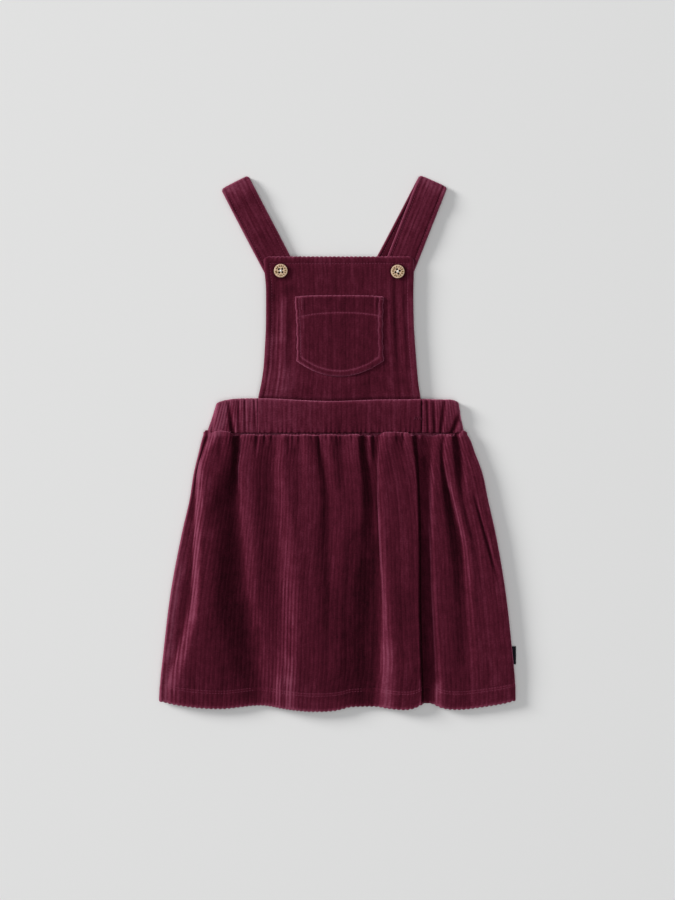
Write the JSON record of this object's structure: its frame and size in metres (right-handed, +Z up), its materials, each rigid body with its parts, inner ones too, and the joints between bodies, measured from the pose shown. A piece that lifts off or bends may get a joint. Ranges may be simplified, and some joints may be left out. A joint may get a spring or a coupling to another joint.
{
  "type": "child's pinafore dress, laid flat",
  "caption": "Ribbed velour pinafore dress lying flat: square bib with a patch pocket, crossed straps buttoned at the bib, elasticated waistband and gathered skirt.",
  "frame": {"origin": "middle of the bounding box's underside, on the surface that the dress lies on", "axes": "+Z up out of the surface and out of the dress's front, +Y from the hem to the shoulder straps, +X to the viewer's right, which is the wearer's left"},
  "size_m": [0.384, 0.5761, 0.0144],
  "materials": {
    "velour": "burgundy ribbed velour with a short, soft pile that brightens at a grazing angle",
    "button": "pale coconut shell, satin, with a fine grain",
    "label": "near-black woven tape, matt"
  },
  "bodies": {
    "root": {"skirt_front": "velour", "skirt_back": "velour", "waistband_front": "velour", "waistband_back": "velour", "bib": "velour", "bib_pocket": "velour", "strap_left": "velour", "strap_right": "velour", "button_left": "button", "button_right": "button", "side_label": "label"}
  },
  "joints": []
}
